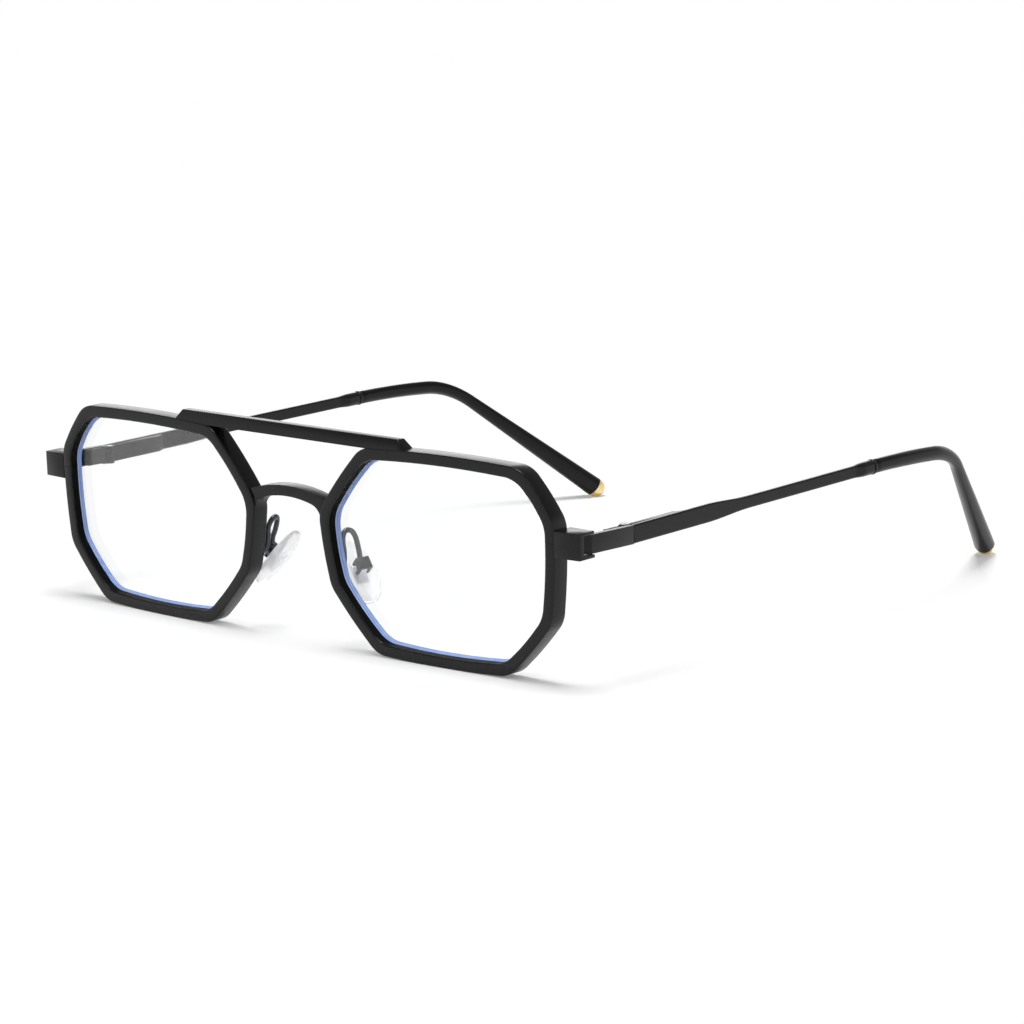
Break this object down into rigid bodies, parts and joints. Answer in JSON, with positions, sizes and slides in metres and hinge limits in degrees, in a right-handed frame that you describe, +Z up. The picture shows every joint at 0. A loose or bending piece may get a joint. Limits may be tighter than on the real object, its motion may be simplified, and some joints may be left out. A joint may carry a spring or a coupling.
{
  "type": "polygonal eyeglasses",
  "caption": "Octagonal metal eyeglasses with a straight brow bar, an arched lower bridge, clear lenses, clear nose pads and folding temples with capped plastic tips.",
  "frame": {"origin": "on the table, under the middle of the whole pair with the temples open", "axes": "+X towards the wearer's left, lenses face -Y, temples run back along +Y, +Z up"},
  "size_m": [0.14, 0.147, 0.0407],
  "materials": {
    "black_metal": "satin black coating",
    "lens": "clear, faint blue-violet coating",
    "tip_plastic": "polished black acetate",
    "gold_cap": "polished pale gold",
    "clear_pad": "clear soft plastic",
    "bare_steel": "fine machined"
  },
  "bodies": {
    "front": {"left_rim": "black_metal", "right_rim": "black_metal", "left_lens": "lens", "right_lens": "lens", "brow_bar": "black_metal", "nose_bridge": "black_metal", "left_end_cover": "black_metal", "right_end_cover": "black_metal", "left_end_lug": "black_metal", "right_end_lug": "black_metal", "left_lock_upper": "black_metal", "right_lock_upper": "black_metal", "left_lock_lower": "black_metal", "right_lock_lower": "black_metal", "left_lock_screw": "bare_steel", "right_lock_screw": "bare_steel", "left_hinge_front": "black_metal", "right_hinge_front": "black_metal", "left_hinge_screw": "bare_steel", "right_hinge_screw": "bare_steel", "left_pad_arm": "black_metal", "right_pad_arm": "black_metal", "left_pad_box": "black_metal", "right_pad_box": "black_metal", "left_pad_screw": "bare_steel", "right_pad_screw": "bare_steel"},
    "left_temple": {"left_hinge_back": "black_metal", "left_temple_blade": "black_metal", "left_temple_core": "bare_steel", "left_tip_ring": "black_metal", "left_temple_tip": "tip_plastic", "left_tip_cap": "gold_cap"},
    "right_temple": {"right_hinge_back": "black_metal", "right_temple_blade": "black_metal", "right_temple_core": "bare_steel", "right_tip_ring": "black_metal", "right_temple_tip": "tip_plastic", "right_tip_cap": "gold_cap"},
    "left_pad": {"left_pad_core": "bare_steel", "left_nose_pad": "clear_pad"},
    "right_pad": {"right_pad_core": "bare_steel", "right_nose_pad": "clear_pad"}
  },
  "joints": [
    {"name": "left_fold", "type": "hinge", "parent": "front", "child": "left_temple", "pos_m": [0.06733, -0.05545, 0.02568], "axis": [0, 0, 1], "range_deg": [0, 85]},
    {"name": "right_fold", "type": "hinge", "parent": "front", "child": "right_temple", "pos_m": [-0.06733, -0.05545, 0.02568], "axis": [0, 0, -1], "range_deg": [0, 78]},
    {"name": "left_pad_rock", "type": "hinge", "parent": "front", "child": "left_pad", "pos_m": [0.0127, -0.06562, 0.01446], "axis": [0.2978, 0.9531, 0.0537], "range_deg": [-6, 6]},
    {"name": "right_pad_rock", "type": "hinge", "parent": "front", "child": "right_pad", "pos_m": [-0.0127, -0.06562, 0.01446], "axis": [-0.2978, 0.9531, 0.0537], "range_deg": [-6, 6]}
  ]
}
